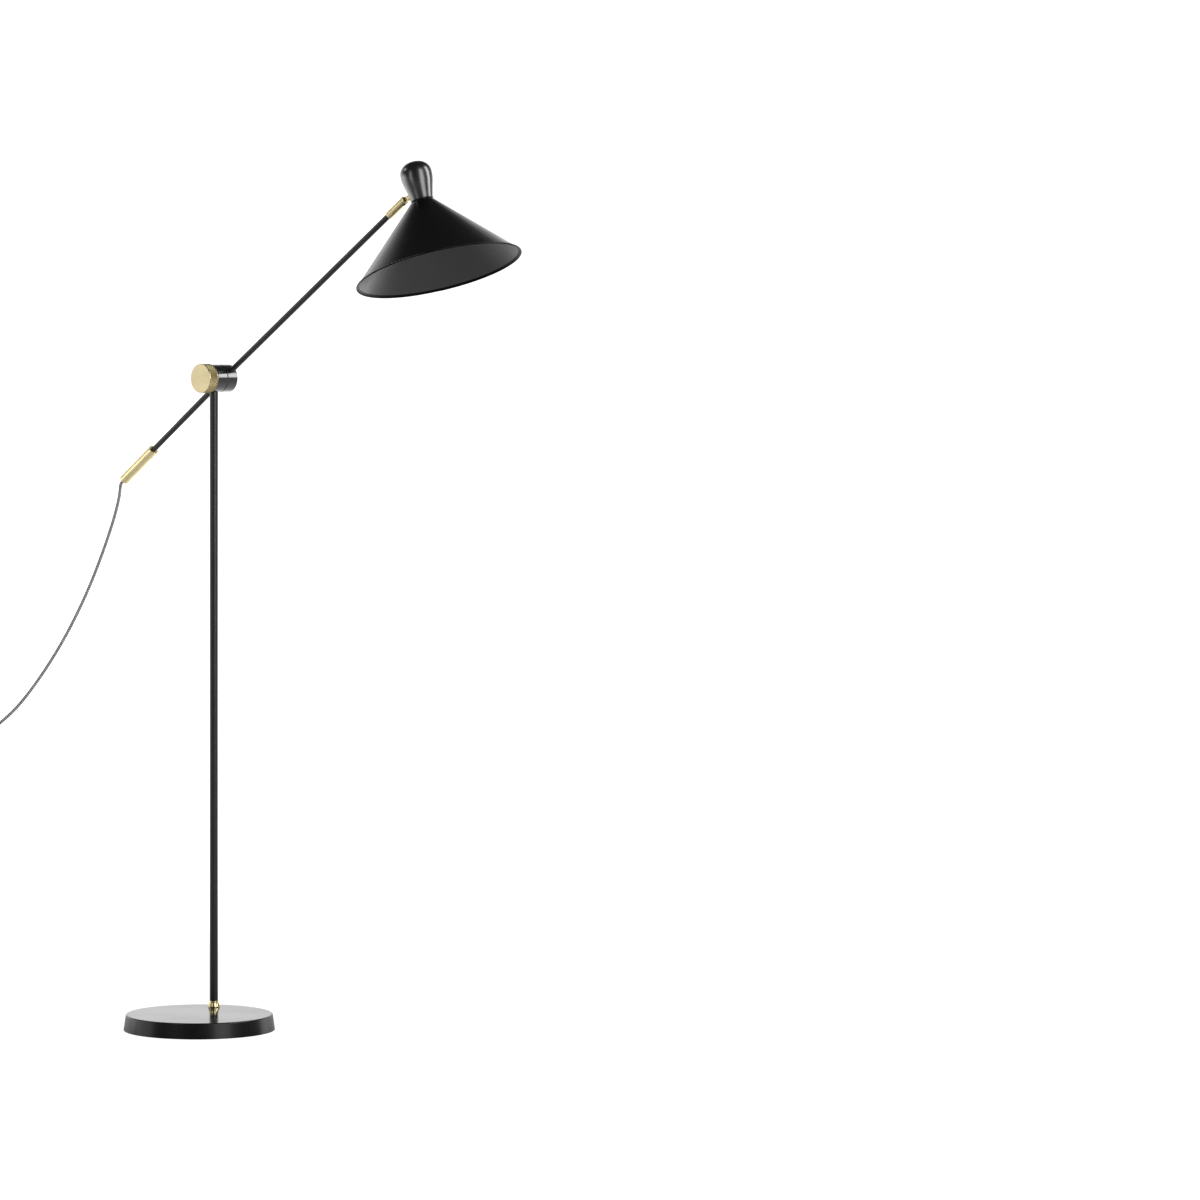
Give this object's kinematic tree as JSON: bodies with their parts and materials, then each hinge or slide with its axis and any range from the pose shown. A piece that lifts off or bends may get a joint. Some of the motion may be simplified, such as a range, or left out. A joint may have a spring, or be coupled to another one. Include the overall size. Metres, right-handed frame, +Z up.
{
  "type": "adjustable arm floor lamp",
  "caption": "Floor lamp with a round weighted base, an off-centre pole, a tilting counterweighted arm on a brass clamp knob, and a conical shade on a swivel.",
  "frame": {"origin": "centre of the base's underside, on the floor", "axes": "+Z up; +X towards the side on which the arm rises to the head; the clamp knob faces -Y"},
  "size_m": [1.1591, 0.557, 1.5442],
  "materials": {
    "black_satin": "satin black powder coat on steel",
    "black_turned": "satin black coat on turned aluminium",
    "black_gloss": "semi-gloss black lacquer on turned aluminium",
    "shade_black": "matte black powder coat on spun aluminium",
    "satin_brass": "brushed satin brass",
    "bright_brass": "polished brass",
    "base_iron": "rough cast iron",
    "zinc_steel": "zinc plated steel",
    "grey_felt": "dense felt",
    "dark_fibre": "dark fibre washer",
    "black_rubber": "matte rubber",
    "cord_textile": "black and white twill braid over two cores",
    "inner_cable": "smooth cable jacket",
    "black_plastic": "fine grained black plastic",
    "black_phenolic": "moulded black phenolic",
    "opal_glass": "frosted glass",
    "nickel": "bright nickel plate"
  },
  "bodies": {
    "stand": {"felt_pad": "grey_felt", "base_cover": "black_satin", "base_weight": "base_iron", "base_washer": "zinc_steel", "base_nut": "zinc_steel", "pole_ferrule": "bright_brass", "pole_foot": "zinc_steel", "lower_pole": "black_satin", "pole_coupler": "zinc_steel", "upper_pole": "black_satin", "front_drum": "black_turned", "pole_grub_screw": "zinc_steel", "friction_disc": "dark_fibre", "knob_washer": "dark_fibre", "cord_drop": "cord_textile", "switch_lower_case": "black_plastic", "switch_upper_case": "black_plastic", "button_spring": "zinc_steel", "switch_reliefs": "black_rubber", "cord_lead": "cord_textile", "cord_coil": "cord_textile", "coil_tie": "black_rubber", "cord_tail": "cord_textile", "plug_relief": "black_rubber", "plug_body": "black_plastic", "plug_pins": "nickel"},
    "knob": {"clamp_knob": "satin_brass"},
    "arm": {"rear_hub": "black_turned", "clamp_stud": "zinc_steel", "upper_arm": "black_satin", "lower_arm": "black_satin", "end_sleeve": "satin_brass", "cord_grommet": "black_rubber", "arm_ring": "satin_brass", "arm_grub_screws": "zinc_steel", "swivel_nipple": "zinc_steel", "arm_cable": "inner_cable"},
    "swivel": {"swivel_fork": "satin_brass", "hinge_pin": "satin_brass"},
    "head": {"knuckle": "satin_brass", "knuckle_nut": "zinc_steel", "holder_bracket": "zinc_steel", "holder_nut": "zinc_steel", "finial_cap": "black_gloss", "neck_collar": "black_gloss", "shade": "shade_black", "lamp_holder": "black_phenolic", "contact_shell": "nickel", "shade_ring": "black_phenolic", "bulb_base": "nickel", "bulb_globe": "opal_glass"},
    "foot_button": {"switch_button": "black_plastic"}
  },
  "joints": [
    {"name": "arm_tilt", "type": "hinge", "parent": "stand", "child": "arm", "pos_m": [-0.051, 0.1055, 1.1625], "axis": [0, -1, 0], "range_deg": [-50, 45], "deforming": ["cord_drop"]},
    {"name": "knob_turn", "type": "hinge", "parent": "arm", "child": "knob", "pos_m": [-0.051, 0.0593, 1.1625], "axis": [0, -1, 0], "range_deg": [0, 360]},
    {"name": "head_swivel", "type": "hinge", "parent": "arm", "child": "swivel", "pos_m": [0.39686, 0.1055, 1.46687], "axis": [0.8271, 0, 0.5621], "range_deg": [-150, 150]},
    {"name": "head_tilt", "type": "hinge", "parent": "swivel", "child": "head", "pos_m": [0.40968, 0.1055, 1.47558], "axis": [0, -1, 0], "range_deg": [-18, 65]},
    {"name": "button_press", "type": "slide", "parent": "stand", "child": "foot_button", "axis": [0, 0, -1], "range_m": [0, 0.0025], "stiffness_N_per_m": 600, "springref_m": -0.002, "deforming": ["button_spring"]}
  ]
}
